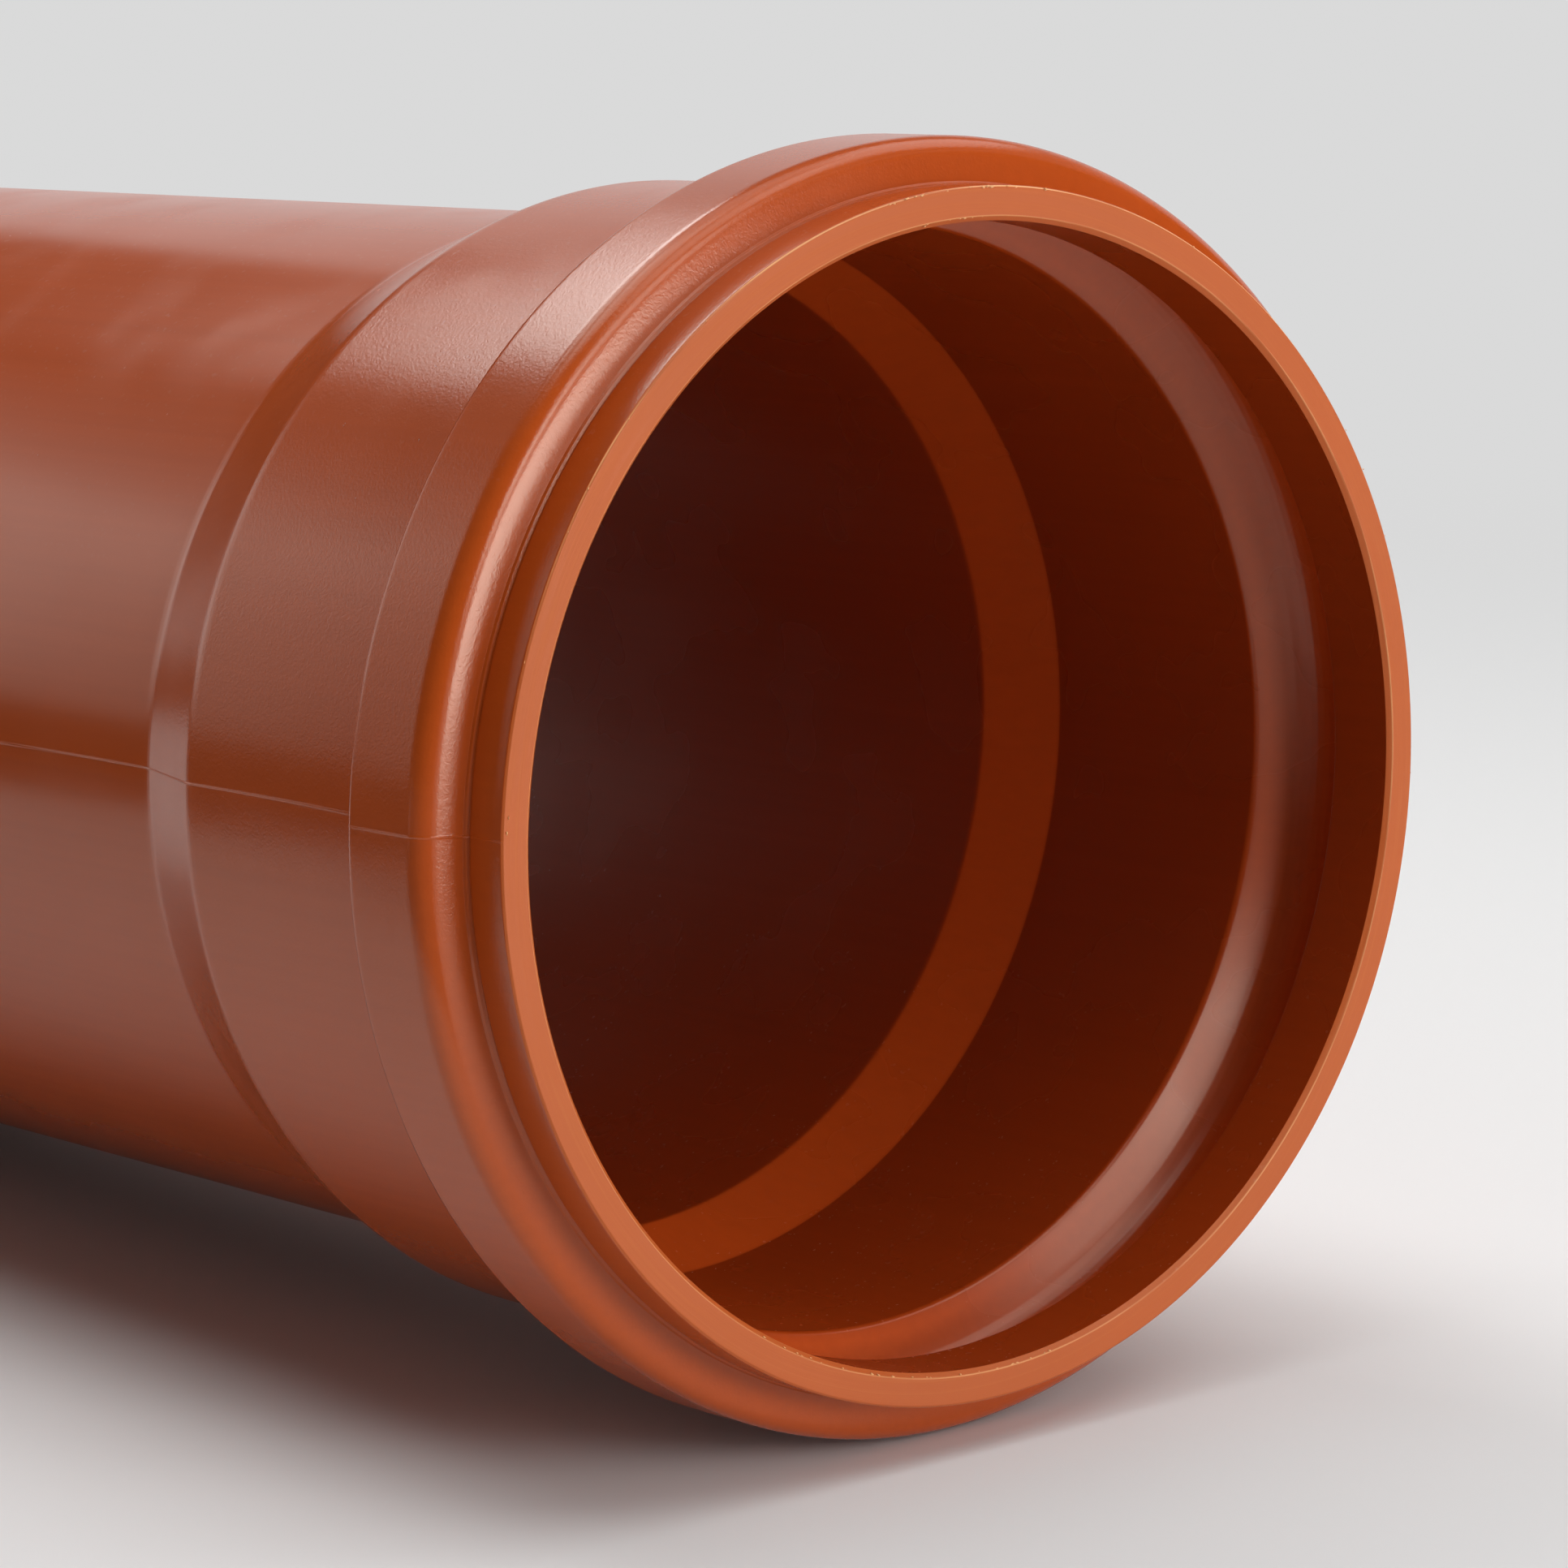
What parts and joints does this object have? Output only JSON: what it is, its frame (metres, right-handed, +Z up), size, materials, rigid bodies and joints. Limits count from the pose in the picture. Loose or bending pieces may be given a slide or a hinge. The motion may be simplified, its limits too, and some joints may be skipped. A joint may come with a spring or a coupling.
{
  "type": "plastic drain pipe with socket",
  "caption": "Short length of orange-brown plastic drain pipe with a push-fit socket, a bead that houses a ring seal, and a chamfered spigot end.",
  "frame": {"origin": "bottom centre of the bounding box, on the floor that the pipe lies on", "axes": "+X along the pipe towards the socket's mouth, +Z up; the pipe's axis rises by about two degrees towards the mouth, because the pipe rests on its bead and its spigot end"},
  "size_m": [0.2946, 0.1282, 0.1284],
  "materials": {
    "pipe_plastic": "satin"
  },
  "bodies": {
    "root": {"socket_pipe": "pipe_plastic"}
  },
  "joints": []
}
